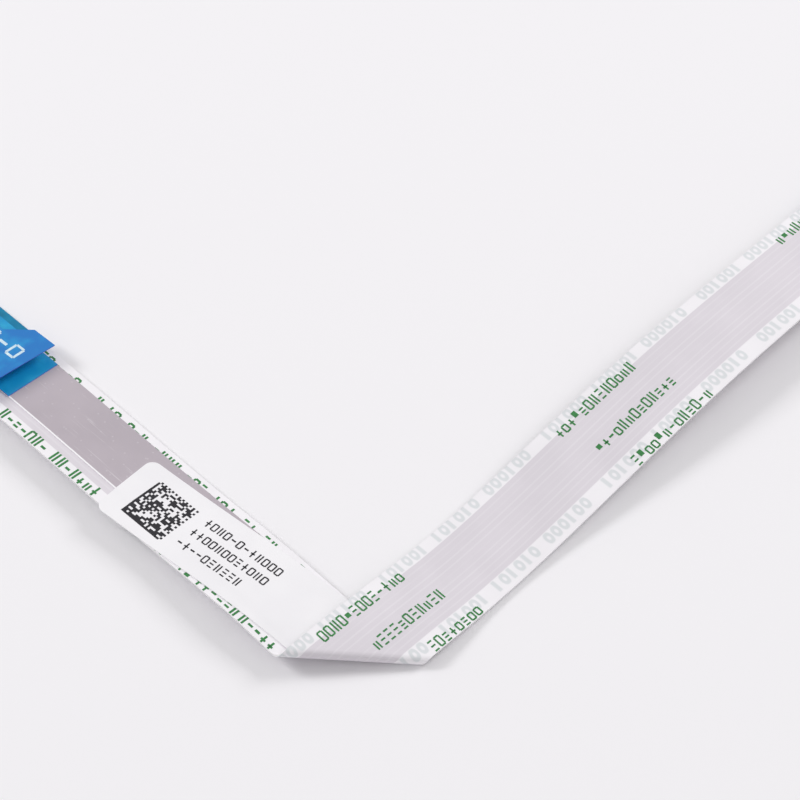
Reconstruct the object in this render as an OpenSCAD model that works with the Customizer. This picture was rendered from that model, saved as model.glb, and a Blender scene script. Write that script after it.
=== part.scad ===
// Flat flexible cable: ten flat conductors laminated between two films, folded
// once into a right angle and lying loose on a table.
//
// Every layer is first laid out flat: x runs along the cable, y across it and w
// through its thickness, from the back film (w = 0) up to the front film. Bend
// lines then cross the flat sheet and turn it, facet by facet, into the folded
// and gently sprung shape, so that all layers nest exactly on one another.

/* [Cable] */
// Width of the insulation
cable_w = 7.5; // [7:0.1:8.5]
// Flat length from the fold to the tip of the labelled arm
label_arm_len = 44; // [43:0.5:50]
// Flat length from the fold to the tip of the plain arm
plain_arm_len = 63; // [60:0.5:75]
// Thickness of each insulating film
film_t = 0.06; // [0.05:0.01:0.08]

/* [Conductors] */
// Distance between conductor centres
pitch = 0.5; // [0.45:0.01:0.52]
// Width of each conductor
conductor_w = 0.38; // [0.3:0.01:0.4]
// Thickness of each conductor
conductor_t = 0.05; // [0.035:0.005:0.08]
// How far the conductors lie to one side of the cable's centre line
conductor_shift = -0.25; // [-0.3:0.05:0.3]
// Bare length of the contacts at each tip
contact_len = 4; // [3:0.5:5]

/* [Fold] */
// Radius of the fold at the middle of the thickness
fold_r = 0.4; // [0.3:0.05:0.6]
// Angle between the crease and a line straight across the cable
fold_skew = 44.3; // [44:0.1:46]
// Angle that the sheet turns through in the fold
fold_wrap = 180.7; // [178:0.1:184]
// Sideways slope of the labelled arm beside the fold
arm_roll = -3.3; // [-4:0.05:0]
// Slope of the labelled arm along its length beside the fold
arm_pitch = 6; // [5:0.05:8]

/* [Foil and label] */
// Thickness of the shielding foil
foil_t = 0.05; // [0.03:0.01:0.08]
// Distance of the foil's lower edge from the centre line
foil_low = 1.9; // [1.5:0.05:2.5]
// Distance of the foil's upper edge from the centre line
foil_high = 3.05; // [2.5:0.05:3.3]
// Thickness of the paper label
label_t = 0.08; // [0.06:0.01:0.12]
// Length of the label
label_len = 19.9; // [16:0.1:20]
// Width of the label
label_w = 6.3; // [5:0.1:6.6]
// Corner radius of the label
label_r = 0.8; // [0.4:0.1:1.5]
// Angle at which the label was stuck on
label_turn = 4.6; // [0:0.1:5]

/* [Ends] */
// Thickness of the stiffener behind the contacts
stiffener_t = 0.19; // [0.15:0.01:0.25]
// Length of each stiffener
stiffener_len = 5.4; // [5:0.1:6]
// Thickness of the pull tab's tape
tape_t = 0.08; // [0.05:0.01:0.1]
// Width of the pull tab's free flap
flap_w = 7.4; // [6:0.1:8]
// Length of the pull tab's free flap
flap_len = 6.5; // [5:0.1:6.8]
// Angle at which the flap springs up
flap_lift = 3; // [1:0.5:5]

/* [Hidden] */
conductor_count = 10;
function conductor_name(i) = str("conductor_", i < 10 ? "0" : "", i);

half_w = cable_w / 2;
tip_a = -label_arm_len;
tip_b = plain_arm_len;

// Heights of the layers above the back face
back_top = film_t;
front_base = back_top + conductor_t;
front_top = front_base + film_t;
foil_top = front_top + foil_t;
mid_w = front_top / 2;

// --- Bend lines ------------------------------------------------------------
// Each bend is [x on the centre line, angle of its line, angle turned].
fold_steps = 10;
crease_gap = 1.6;      // flat strip beside the fold, before the sheet relaxes
crease_step = 2;       // from there to the second relaxed line
curve_start = 9.5;     // where the long gentle curves start
curve_step = 2.5;
straight_len = 9;      // each tip is straight for this far

fold_half = fold_r * fold_wrap * PI / 360 / sin(45);
fold_step = 2 * fold_half / fold_steps;
fold_bends = [for (i = [0 : fold_steps - 1])
    [-fold_half + (i + 0.5) * fold_step, fold_skew, fold_wrap / fold_steps]];

// Curvature along each arm, as [distance from the fold, degrees per millimetre]
label_curve = [[9.5, -1.08], [16, 0.45], [25, 0.07], [34.5, -0.4]];
plain_curve = [[9.5, -1.76], [16, -0.87], [25, 0.18], [38, 0.78], [44, 0.3], [48, 0.05], [54, 0]];
label_crease = [-3.25, -3.05];
plain_crease = [0.95, 4.25];
// The long curves' lines are not quite straight across, as [distance, angle]
label_skew = [[0, -2.8]];
plain_skew = [[9.5, -9.5], [40, 33], [54, 0]];

function curve(arm_len, skew, table) =
    [for (x = [curve_start : curve_step : arm_len - straight_len])
        [x, lookup(x, skew), lookup(x, table) * curve_step]];
function creases(turns) =
    [for (i = [0, 1]) [fold_half + crease_gap + i * crease_step, fold_skew, turns[i]]];
// The labelled arm's bends, listed from its tip toward the fold
function mirrored(list) = [for (i = [len(list) - 1 : -1 : 0]) [-list[i][0], list[i][1], list[i][2]]];

label_bends = mirrored(concat(creases(label_crease), curve(label_arm_len, label_skew, label_curve)));
plain_bends = concat(creases(plain_crease), curve(plain_arm_len, plain_skew, plain_curve));
bends = concat(label_bends, fold_bends, plain_bends);
base = len(label_bends);   // the facet just before the fold
last = len(bends);

// --- Frames of the facets --------------------------------------------------
function slide_x(d) = [[1, 0, 0, d], [0, 1, 0, 0], [0, 0, 1, 0], [0, 0, 0, 1]];
function turn_x(a) = [[1, 0, 0, 0], [0, cos(a), -sin(a), 0], [0, sin(a), cos(a), 0], [0, 0, 0, 1]];
function turn_y(a) = [[cos(a), 0, sin(a), 0], [0, 1, 0, 0], [-sin(a), 0, cos(a), 0], [0, 0, 0, 1]];
function turn_z(a) = [[cos(a), -sin(a), 0, 0], [sin(a), cos(a), 0, 0], [0, 0, 1, 0], [0, 0, 0, 1]];
function bend(b, sense) =
    slide_x(b[0]) * turn_z(-b[1]) * turn_y(-sense * b[2]) * turn_z(b[1]) * slide_x(-b[0]);

start_frame = turn_z(-90) * turn_x(arm_roll) * turn_y(arm_pitch);
frames_on = [for (i = 0, m = start_frame; i <= last - base;
    m = i < last - base ? m * bend(bends[base + i], 1) : m, i = i + 1) m];
frames_back = [for (i = 0, m = start_frame; i <= base;
    m = i < base ? m * bend(bends[base - 1 - i], -1) : m, i = i + 1) m];
frames = concat([for (i = [base : -1 : 1]) frames_back[i]], frames_on);
frame_a = frames[0];
frame_b = frames[last];

function carried(m, p) = let (q = [p[0], p[1], p[2] - mid_w, 1]) [for (r = [0 : 2]) m[r] * q];
function normal(m) = [m[0][2], m[1][2], m[2][2]];
// A point of the flat layout on bend line i, where two facets meet in a mitre
function on_bend(i, y, w) =
    let (n1 = normal(frames[i]), n2 = normal(frames[i + 1]))
    carried(frames[i], [bends[i][0] + y * tan(bends[i][1]), y, mid_w])
    + (w - mid_w) * (n1 + n2) / (1 + n1 * n2);
// The facet that carries a flat distance x on the centre line
function facet_at(x) = len([for (b = bends) if (b[0] < x) b]);

// --- Rings and strips ------------------------------------------------------
// A ring is the layer's section [y, w] at a straight cut or along a bend line.
function cut_ring(section, x) =
    [for (s = section) carried(frames[facet_at(x)], [x, s[0], s[1]])];
function bend_rings(section, x0, x1) =
    [for (i = [0 : last - 1]) if (bends[i][0] > x0 && bends[i][0] < x1)
        [for (s = section) on_bend(i, s[0], s[1])]];
function rings(section, x0, x1) =
    concat([cut_ring(section, x0)], bend_rings(section, x0, x1), [cut_ring(section, x1)]);
function band(y0, y1, w0, w1) = [[y0, w0], [y0, w1], [y1, w1], [y1, w0]];

// Closed skin through a list of rings
module skin(list) {
    n = len(list[0]);
    m = len(list);
    polyhedron(
        points = [for (r = list) each r],
        faces = concat(
            [[for (j = [n - 1 : -1 : 0]) j]],
            [for (r = [0 : m - 2], j = [0 : n - 1])
                let (k = (j + 1) % n) [r * n + j, r * n + k, (r + 1) * n + k, (r + 1) * n + j]],
            [[for (j = [0 : n - 1]) (m - 1) * n + j]]),
        convexity = 6);
}
module strip(y0, y1, w0, w1, x0, x1) skin(rings(band(y0, y1, w0, w1), x0, x1));

// --- Pull tab sizes --------------------------------------------------------
// The tape runs from its edge on the foil to a loop near the tip. Distances along
// the cable are counted from the tip.
tape_end = 8.9;
loop_x = 1.6;
step_len = 0.4;        // the tape's slope down from the stiffener to the foil
loop_r = 0.3;          // inner radius of the loop
tape_w = front_top + stiffener_t;
loop_w = tape_w + tape_t + loop_r;
flap_shift = -0.2;     // how far the flap is off the centre line
flap_cut = 0.3;
flap_head = 2.3;       // how much of the flap has its full width
flap_nick = 1.7;       // how far its corner beside the loop is cut back

// --- Where the cable lies --------------------------------------------------
// The lowest point touches the table and the footprint is centred on the origin.
flap_tip = [for (y = [-1, 1], w = [loop_r, loop_r + tape_t])
    [loop_x + flap_len * cos(flap_lift) - w * sin(flap_lift), y * flap_w / 2 + flap_shift,
     loop_w + w * cos(flap_lift) + flap_len * sin(flap_lift)]];
loop_top = [for (y = [-foil_low, foil_high]) [loop_x, y, loop_w + loop_r + tape_t]];
bare_a = tip_a + contact_len;   // the back film stops here, which bares the contacts
bare_b = tip_b - contact_len;
reach = concat(
    [for (r = rings(band(-half_w, half_w, front_base, front_top), tip_a, tip_b)) each r],
    [for (r = rings(band(-half_w, half_w, 0, back_top), bare_a, bare_b)) each r],
    [for (c = concat(flap_tip, loop_top)) carried(frame_a, [tip_a + c[0], c[1], c[2]])],
    [for (c = concat(flap_tip, loop_top)) carried(frame_b, [tip_b - c[0], -c[1], c[2]])]);
function middle(axis) =
    let (v = [for (p = reach) p[axis]]) (min(v) + max(v)) / 2;
lowest = min([for (p = reach) p[2]]);
module lie() translate([-middle(0), -middle(1), -lowest]) children();

// --- The laminate ----------------------------------------------------------
module front_film()
    color("gainsboro") lie() strip(-half_w, half_w, front_base, front_top, tip_a, tip_b);

module back_film()
    color("whitesmoke") lie() strip(-half_w, half_w, 0, back_top, bare_a, bare_b);

function conductor_y(i) = conductor_shift + (i - (conductor_count + 1) / 2) * pitch;
module conductor(i)
    color("goldenrod") lie()
        strip(conductor_y(i) - conductor_w / 2, conductor_y(i) + conductor_w / 2,
              back_top, front_base, tip_a, tip_b);

// The adhesive fills the space beside and between the conductors
module adhesive()
    color("ivory") lie() for (i = [0 : conductor_count])
        strip(i == 0 ? -half_w : conductor_y(i) + conductor_w / 2,
              i == conductor_count ? half_w : conductor_y(i + 1) - conductor_w / 2,
              back_top, front_base, bare_a, bare_b);

// --- Foil and label --------------------------------------------------------
foil_gap = 0.5;         // bare film between the foil and each stiffener
module foil_strip()
    color("silver") lie()
        strip(-foil_low, foil_high, front_top, foil_top,
              tip_a + stiffener_len + foil_gap, tip_b - stiffener_len - foil_gap);

label_x = -23.15;       // the label's short edge on the centre line
label_y = -1.05;        // the middle of that edge
label_side = half_w + 0.8;
label_slab = 1.5;       // how far the uncut label and its cutter reach past the label
label_ends = [label_x - label_slab, -fold_half + fold_step];
// The label's section steps down over the foil's lower edge
label_section = [
    [-label_side, front_top], [-label_side, front_top + label_t],
    [-foil_low - label_t, front_top + label_t], [-foil_low - label_t / 2, foil_top + label_t],
    [label_side, foil_top + label_t], [label_side, foil_top],
    [-foil_low, foil_top], [-foil_low, front_top]];
module label_outline()
    translate([label_r, label_r - label_w / 2])
        offset(label_r) square([label_len - 2 * label_r, label_w - 2 * label_r]);
module label()
    color("white") lie() intersection() {
        skin(concat([cut_ring(label_section, label_ends[0])],
                    bend_rings(label_section, label_ends[0], label_ends[1])));
        multmatrix(frames[facet_at(label_x + label_len / 2)])
            translate([label_x, label_y, -label_slab])
                rotate(label_turn) linear_extrude(2 * label_slab) label_outline();
    }

// --- Stiffeners and pull tabs ----------------------------------------------
// Both tips are alike. x runs inward from the tip, and w up from the back face.
module at_tip_a() lie() multmatrix(frame_a) translate([tip_a, 0, -mid_w]) children();
module at_tip_b() lie() multmatrix(frame_b) translate([tip_b, 0, -mid_w]) mirror([1, 0, 0]) children();

module stiffener() translate([0, -half_w, front_top]) cube([stiffener_len, cable_w, stiffener_t]);
module stiffener_a() color("steelblue") at_tip_a() stiffener();
module stiffener_b() color("steelblue") at_tip_b() stiffener();

// The tape's section along the cable: stuck on the foil, up over the stiffener's
// edge and round a tight loop
overlap = 0.01;         // how far the tape's stretches run into one another
module tape_section() {
    polygon([
        [loop_x - overlap, tape_w], [stiffener_len, tape_w],
        [stiffener_len + step_len, foil_top], [tape_end, foil_top],
        [tape_end, foil_top + tape_t], [stiffener_len + step_len, foil_top + tape_t],
        [stiffener_len, tape_w + tape_t], [loop_x - overlap, tape_w + tape_t]]);
    translate([loop_x, loop_w]) difference() {
        circle(loop_r + tape_t, $fn = 64);
        circle(loop_r, $fn = 64);
        translate([0, -2 * loop_r]) square(4 * loop_r);
        rotate(flap_lift) square(4 * loop_r);
    }
}
// The free flap hangs over one edge of the cable, and its far corner is cut away
module flap(side)
    translate([loop_x, 0, loop_w]) rotate([0, -flap_lift, 0]) translate([0, 0, loop_r])
        linear_extrude(tape_t) scale([1, side]) translate([0, flap_shift]) polygon([
            [-overlap, -flap_w / 2], [-overlap, flap_w / 2 - flap_nick],
            [flap_len - flap_head - flap_nick, flap_w / 2 - flap_nick],
            [flap_len - flap_head, flap_w / 2], [flap_len, flap_w / 2],
            [flap_len - flap_cut, -flap_w / 2]]);
module pull_tab(side) {
    translate([0, foil_high, 0]) rotate([90, 0, 0])
        linear_extrude(foil_low + foil_high) tape_section();
    flap(side);
}
module pull_tab_a() color("dodgerblue") at_tip_a() pull_tab(1);
module pull_tab_b() color("dodgerblue") at_tip_b() pull_tab(-1);

front_film();
back_film();
adhesive();
for (i = [1 : conductor_count])
    conductor(i);
foil_strip();
label();
stiffener_a();
stiffener_b();
pull_tab_a();
pull_tab_b();
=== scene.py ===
"""Looks of a flat flexible cable that is folded once and lies on a table.

The solids give every size. This script lays the same layers out flat, bends them along finer
lines than the solids have, and dresses them: milky films with the conductors showing through,
dull foil, a printed label, blue tape and rows of small green marks.

Lengths are in millimetres, as in the solids, until a mesh is written in metres.
"""

import logging
import math
from collections.abc import Callable
from dataclasses import dataclass, field
from enum import Enum

import bpy
import numpy as np
from mathutils import Matrix, Vector

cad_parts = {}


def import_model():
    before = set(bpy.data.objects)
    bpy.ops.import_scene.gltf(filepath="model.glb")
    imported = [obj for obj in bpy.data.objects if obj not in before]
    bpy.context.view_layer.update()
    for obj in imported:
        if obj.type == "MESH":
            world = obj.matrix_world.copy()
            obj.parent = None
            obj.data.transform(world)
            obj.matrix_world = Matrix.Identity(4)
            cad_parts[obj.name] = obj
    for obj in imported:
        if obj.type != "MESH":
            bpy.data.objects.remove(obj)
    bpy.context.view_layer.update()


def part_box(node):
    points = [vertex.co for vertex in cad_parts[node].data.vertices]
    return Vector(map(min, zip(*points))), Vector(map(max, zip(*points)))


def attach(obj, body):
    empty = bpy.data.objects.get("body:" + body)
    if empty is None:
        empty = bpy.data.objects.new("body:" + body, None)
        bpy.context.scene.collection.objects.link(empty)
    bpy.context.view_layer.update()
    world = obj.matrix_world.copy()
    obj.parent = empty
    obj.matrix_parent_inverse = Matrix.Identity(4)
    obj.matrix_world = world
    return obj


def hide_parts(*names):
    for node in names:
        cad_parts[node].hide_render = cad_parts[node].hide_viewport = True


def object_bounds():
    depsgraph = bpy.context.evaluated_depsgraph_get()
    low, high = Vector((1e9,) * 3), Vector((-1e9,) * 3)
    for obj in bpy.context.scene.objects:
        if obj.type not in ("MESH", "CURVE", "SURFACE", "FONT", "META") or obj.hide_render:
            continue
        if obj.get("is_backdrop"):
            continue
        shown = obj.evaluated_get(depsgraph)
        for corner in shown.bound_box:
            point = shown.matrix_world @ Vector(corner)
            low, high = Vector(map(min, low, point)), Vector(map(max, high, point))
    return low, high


LOG = logging.getLogger("flat_cable")
MM = 0.001
UV_SPAN = 200.0        # millimetres of the flat layout that one unit of UV covers
OBJECT_DETAIL = 4.0    # finer layers of every noise that is read in the object
SMALL = 0.72           # height of a low shape in a row of marks, over that of a tall one
FILM_INK = 0.012       # thickness of the ink on the films
THINNEST = 0.03        # width of the thinnest bar that is kept where marks are cut off

Mark = tuple[float, float, float, float, float]     # flat x, y, length, width and turn of a bar
Ring = list[tuple[np.ndarray, float, float]]        # place, flat x and flat y of each point
Table = tuple[tuple[float, float], ...]             # pairs of a distance and a value
Colour = tuple[float, float, float, float]
Carry = Callable[[float, float, float], np.ndarray]     # from flat x, y and height to a place


class Face(Enum):
    """The two outer faces of the laminate."""

    FRONT = 1
    BACK = -1


@dataclass(frozen=True)
class CableSizes:
    """Sizes of the laid-out cable, as in the solids."""

    width: float = 7.5
    label_arm: float = 44.0
    plain_arm: float = 63.0
    film_t: float = 0.06
    conductor_t: float = 0.05
    conductor_w: float = 0.38
    conductor_count: int = 10
    conductor_shift: float = -0.25
    pitch: float = 0.5
    contact_len: float = 4.0
    foil_low: float = 1.9
    foil_high: float = 3.05
    foil_t: float = 0.05
    foil_gap: float = 0.5
    stiffener_len: float = 5.4
    stiffener_t: float = 0.19

    @property
    def half_w(self) -> float:
        """Return half the cable's width."""
        return self.width / 2

    @property
    def front_base(self) -> float:
        """Return the height of the front film's inner face."""
        return self.film_t + self.conductor_t

    @property
    def front_top(self) -> float:
        """Return the height of the front film's outer face."""
        return self.front_base + self.film_t

    @property
    def foil_top(self) -> float:
        """Return the height of the foil's outer face."""
        return self.front_top + self.foil_t


@dataclass(frozen=True)
class Pose:
    """How the sheet is folded and sprung: angles in degrees, distances from the fold."""

    fold_r: float = 0.4
    fold_skew: float = 44.3
    fold_wrap: float = 180.7
    roll: float = -3.3
    pitch: float = 6.0
    crease_gap: float = 1.6
    crease_step: float = 2.0
    curve_start: float = 9.5
    curve_step: float = 2.5
    straight: float = 9.0
    label_crease: tuple[float, float] = (-3.25, -3.05)
    plain_crease: tuple[float, float] = (0.95, 4.25)
    label_curve: Table = (
        (9.5, -1.08), (16, 0.45), (25, 0.07), (34.5, -0.4))
    plain_curve: Table = (
        (9.5, -1.76), (16, -0.87), (25, 0.18), (38, 0.78), (44, 0.3), (48, 0.05), (54, 0))
    label_skew: Table = ((0, -2.8),)
    plain_skew: Table = ((9.5, -9.5), (40, 33), (54, 0))


@dataclass(frozen=True)
class Bend:
    """One bend line: where it crosses the centre line, its slant and the angle turned."""

    x: float
    skew: float
    turn: float


def lookup(x: float, table: Table) -> float:
    """Read a table of (distance, value) pairs in straight lines between its entries.

    Args:
        x: The distance to read at.
        table: Pairs in rising order of distance.

    Returns:
        The value there, held constant outside the table.
    """
    return float(np.interp(x, [row[0] for row in table], [row[1] for row in table]))


def turning(axis: str, degrees: float) -> np.ndarray:
    """Return the 4 by 4 rotation about an axis."""
    return np.array(Matrix.Rotation(math.radians(degrees), 4, axis))


def sliding(distance: float) -> np.ndarray:
    """Return the 4 by 4 shift along the cable."""
    return np.array(Matrix.Translation((distance, 0, 0)))


class FoldedSheet:
    """Carries points of the flat layout to where the bent cable has them."""

    FOLD_PARTS = 30
    CURVE_PARTS = 5
    CREASE_PARTS = 6
    CREASE_SPREAD = 0.8
    FIRST_SPREAD = 0.7     # of the curve's first bend, so that its lines stay clear of the crease's

    def __init__(self, sizes: CableSizes, pose: Pose) -> None:
        """Work out the bend lines and the frame of each facet between them.

        Args:
            sizes: The cable's sizes.
            pose: Its folds and curves.
        """
        self.sizes = sizes
        self.pose = pose
        self.mid_w = sizes.front_top / 2
        self.fold_half = pose.fold_r * math.radians(pose.fold_wrap) / 2 / math.sin(math.pi / 4)
        label_side = self._arm(sizes.label_arm, pose.label_crease, pose.label_curve,
                               pose.label_skew)
        plain_side = self._arm(sizes.plain_arm, pose.plain_crease, pose.plain_curve,
                               pose.plain_skew)
        label_side = [Bend(-b.x, b.skew, b.turn) for b in reversed(label_side)]
        part = 2 * self.fold_half / self.FOLD_PARTS
        turn = pose.fold_wrap / self.FOLD_PARTS
        fold = [Bend(-self.fold_half + (i + 0.5) * part, pose.fold_skew, turn)
                for i in range(self.FOLD_PARTS)]
        self.bends = label_side + fold + plain_side
        self.base = len(label_side)
        self.frames = self._frames()
        self.shift = np.zeros(3)

    def _arm(self, length: float, crease: tuple[float, float],
             curve: Table, skew: Table) -> list[Bend]:
        """List one arm's bends from the fold outward, each split into finer ones.

        Args:
            length: Flat length of the arm.
            crease: Turns of the two relaxed lines beside the fold.
            curve: Curvature along the arm, in degrees per millimetre.
            skew: Slant of the curve's lines along the arm.

        Returns:
            The bends, with their places counted from the fold.
        """
        pose = self.pose
        bends: list[Bend] = []
        for i, turn in enumerate(crease):
            x = self.fold_half + pose.crease_gap + i * pose.crease_step
            bends += self._split(Bend(x, pose.fold_skew, turn), self.CREASE_PARTS, self.CREASE_SPREAD)
        steps = int((length - pose.straight - pose.curve_start) / pose.curve_step + 1e-6)
        for i in range(steps + 1):
            x = pose.curve_start + i * pose.curve_step
            bend = Bend(x, lookup(x, skew), lookup(x, curve) * pose.curve_step)
            bends += self._split(bend, self.CURVE_PARTS, pose.curve_step if i else self.FIRST_SPREAD)
        return bends

    @staticmethod
    def _split(bend: Bend, parts: int, spread: float) -> list[Bend]:
        """Return the bend as evenly spaced finer ones over the given spread."""
        return [Bend(bend.x + ((i + 0.5) / parts - 0.5) * spread, bend.skew, bend.turn / parts)
                for i in range(parts)]

    def _frames(self) -> list[np.ndarray]:
        """Return the frame of every facet, from the labelled tip to the plain one."""
        def step(bend: Bend, sense: int) -> np.ndarray:
            """Return the turn about one bend line."""
            return (sliding(bend.x) @ turning("Z", -bend.skew) @ turning("Y", -sense * bend.turn)
                    @ turning("Z", bend.skew) @ sliding(-bend.x))

        start = turning("Z", -90) @ turning("X", self.pose.roll) @ turning("Y", self.pose.pitch)
        onward, back = [start], [start]
        for bend in self.bends[self.base:]:
            onward.append(onward[-1] @ step(bend, 1))
        for bend in reversed(self.bends[:self.base]):
            back.append(back[-1] @ step(bend, -1))
        return back[:0:-1] + onward

    def facet_of(self, x: float, y: float) -> int:
        """Return the index of the facet that holds a flat point."""
        return sum(1 for b in self.bends if x - y * math.tan(math.radians(b.skew)) > b.x)

    def place(self, x: float, y: float, w: float) -> np.ndarray:
        """Return where a flat point at height w lies, in millimetres."""
        return self._carry(self.frames[self.facet_of(x, y)], x, y, w)

    def _carry(self, frame: np.ndarray, x: float, y: float, w: float) -> np.ndarray:
        """Return the point as one facet's frame carries it."""
        return (frame @ np.array([x, y, w - self.mid_w, 1.0]))[:3] + self.shift

    def on_bend(self, i: int, y: float, w: float) -> tuple[np.ndarray, float]:
        """Return a point on bend line i and its flat distance along the cable."""
        bend = self.bends[i]
        x = bend.x + y * math.tan(math.radians(bend.skew))
        n1, n2 = self.frames[i][:3, 2], self.frames[i + 1][:3, 2]
        foot = self._carry(self.frames[i], x, y, self.mid_w)
        return foot + (w - self.mid_w) * (n1 + n2) / (1 + float(n1 @ n2)), x

    def rings(self, section: list[tuple[float, float]], x0: float, x1: float) -> list[Ring]:
        """List a layer's cross-sections between two straight cuts.

        Args:
            section: The layer's outline as (y, w) points.
            x0: Flat distance of the first cut.
            x1: Flat distance of the last cut.

        Returns:
            Rings of (place, flat x, flat y), one for each cut and each bend line between.
        """
        def cut(x: float) -> Ring:
            """Return the ring at a straight cut."""
            k = sum(1 for b in self.bends if b.x < x)
            return [(self._carry(self.frames[k], x, y, w), x, y) for y, w in section]

        middle = []
        for i, bend in enumerate(self.bends):
            if x0 < bend.x < x1:
                ring = [(self.on_bend(i, y, w), y) for y, w in section]
                middle.append([(p, x, y) for (p, x), y in ring])
        return [cut(x0)] + middle + [cut(x1)]


# --- Meshes ---------------------------------------------------------------------------------

def write_mesh(name: str, points: list[np.ndarray], faces: list[list[int]],
               flat: list[tuple[float, float]], sharp: set[tuple[int, int]]) -> bpy.types.Object:
    """Make a smooth-shaded object in metres with the flat layout as its UV map.

    Args:
        name: The piece's name.
        points: Vertex places in millimetres.
        faces: Vertex indices of each face, counter-clockwise from outside.
        flat: Flat x and y of each vertex, in millimetres.
        sharp: Pairs of vertices whose edge stays sharp.

    Returns:
        The new object, linked to the scene.
    """
    mesh = bpy.data.meshes.new(name)
    mesh.from_pydata([tuple(p * MM) for p in points], [], faces)
    mesh.polygons.foreach_set("use_smooth", [True] * len(mesh.polygons))
    layer = mesh.uv_layers.new(name="flat")
    for loop in mesh.loops:
        x, y = flat[loop.vertex_index]
        layer.data[loop.index].uv = (x / UV_SPAN + 0.5, y / UV_SPAN + 0.5)
    for edge in mesh.edges:
        a, b = edge.vertices
        edge.use_edge_sharp = (min(a, b), max(a, b)) in sharp
    mesh.update()
    piece = bpy.data.objects.new(name, mesh)
    bpy.context.scene.collection.objects.link(piece)
    return piece


def skin(name: str, rings: list[Ring]) -> bpy.types.Object:
    """Close a skin over a row of rings whose section is walked clockwise.

    Args:
        name: The piece's name.
        rings: Rings of (place, flat x, flat y), all with the same number of points.

    Returns:
        The new object.
    """
    n, m = len(rings[0]), len(rings)
    points = [p for ring in rings for p, _, _ in ring]
    flat = [(x, y) for ring in rings for _, x, y in ring]
    faces = [list(range(n - 1, -1, -1)), [(m - 1) * n + j for j in range(n)]]
    sharp = set()
    for r in range(m):
        for j in range(n):
            k = (j + 1) % n
            if r in (0, m - 1):
                a, b = r * n + j, r * n + k
                sharp.add((min(a, b), max(a, b)))
            if r < m - 1:
                faces.append([r * n + j, r * n + k, (r + 1) * n + k, (r + 1) * n + j])
                sharp.add((r * n + j, (r + 1) * n + j))
    return write_mesh(name, points, faces, flat, sharp)


def band(y0: float, y1: float, w0: float, w1: float) -> list[tuple[float, float]]:
    """Return a rectangular section."""
    return [(y0, w0), (y0, w1), (y1, w1), (y1, w0)]


# --- Shader helpers -------------------------------------------------------------------------

class Nodes:
    """A short way to add nodes and links to one tree."""

    def __init__(self, tree: bpy.types.NodeTree) -> None:
        """Keep the tree that nodes are added to."""
        self.tree = tree

    def feed(self, node: bpy.types.Node, inputs: dict[str | int, object]) -> None:
        """Give each named or numbered input of a node a socket's output or a plain value."""
        for key, value in inputs.items():
            if isinstance(value, bpy.types.NodeSocket):
                self.tree.links.new(value, node.inputs[key])
            else:
                node.inputs[key].default_value = value

    def add(self, kind: str, inputs: dict[str | int, object], **settings: object) -> bpy.types.Node:
        """Add a node, set its properties and then feed its inputs.

        Args:
            kind: The node's type name.
            inputs: A socket or a plain value for each input that is fed.
            **settings: Properties of the node.

        Returns:
            The new node.
        """
        node = self.tree.nodes.new(kind)
        for key, value in settings.items():
            setattr(node, key, value)
        self.feed(node, inputs)
        return node

    def math(self, operation: str, *values: object) -> bpy.types.NodeSocket:
        """Return the result of a Math node that is fed by sockets or numbers."""
        return self.add("ShaderNodeMath", dict(enumerate(values)), operation=operation).outputs[0]

    def scaled(self, value: bpy.types.NodeSocket, factor: float, offset: float) -> bpy.types.NodeSocket:
        """Return the value times a factor, plus an offset."""
        return self.math("ADD", self.math("MULTIPLY", value, factor), offset)

    def smooth(self, value: bpy.types.NodeSocket, low: object, high: object) -> bpy.types.NodeSocket:
        """Return 0 below low, 1 above high and a smooth rise between."""
        inputs = {"Value": value, "From Min": low, "From Max": high}
        node = self.add("ShaderNodeMapRange", inputs, interpolation_type="SMOOTHSTEP")
        return node.outputs["Result"]

    def falling(self, value: bpy.types.NodeSocket, low: object, high: object) -> bpy.types.NodeSocket:
        """Return 1 below low, 0 above high and a smooth fall between."""
        return self.math("SUBTRACT", 1.0, self.smooth(value, low, high))

    def blend(self, mask: bpy.types.NodeSocket, a: object, b: object) -> bpy.types.NodeSocket:
        """Mix two colours by a mask.

        Args:
            mask: 0 gives the first colour and 1 the second.
            a: A colour socket or an RGBA value.
            b: A colour socket or an RGBA value.

        Returns:
            The mixed colour.
        """
        return self.add("ShaderNodeMix", {"Factor": mask, 6: a, 7: b}, data_type="RGBA").outputs[2]

    def noise(self, place: bpy.types.NodeSocket, scale: float, detail: float = 2.0,
              dimensions: str = "2D") -> bpy.types.NodeSocket:
        """Return noise read at a place.

        Args:
            place: Where it is read.
            scale: Its features per unit of the place.
            detail: How many finer layers it has.
            dimensions: "2D" on the flat layout or "3D" in the object.

        Returns:
            The noise, about 0 to 1.
        """
        inputs = {"Vector": place, "Scale": scale, "Detail": detail}
        return self.add("ShaderNodeTexNoise", inputs, noise_dimensions=dimensions).outputs["Fac"]


def srgb(red: int, green: int, blue: int) -> Colour:
    """Return an RGBA colour from its 8-bit display values."""
    def linear(value: int) -> float:
        """Undo the display curve of one channel."""
        v = value / 255
        return v / 12.92 if v <= 0.04045 else ((v + 0.055) / 1.055) ** 2.4
    return (linear(red), linear(green), linear(blue), 1.0)


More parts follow.
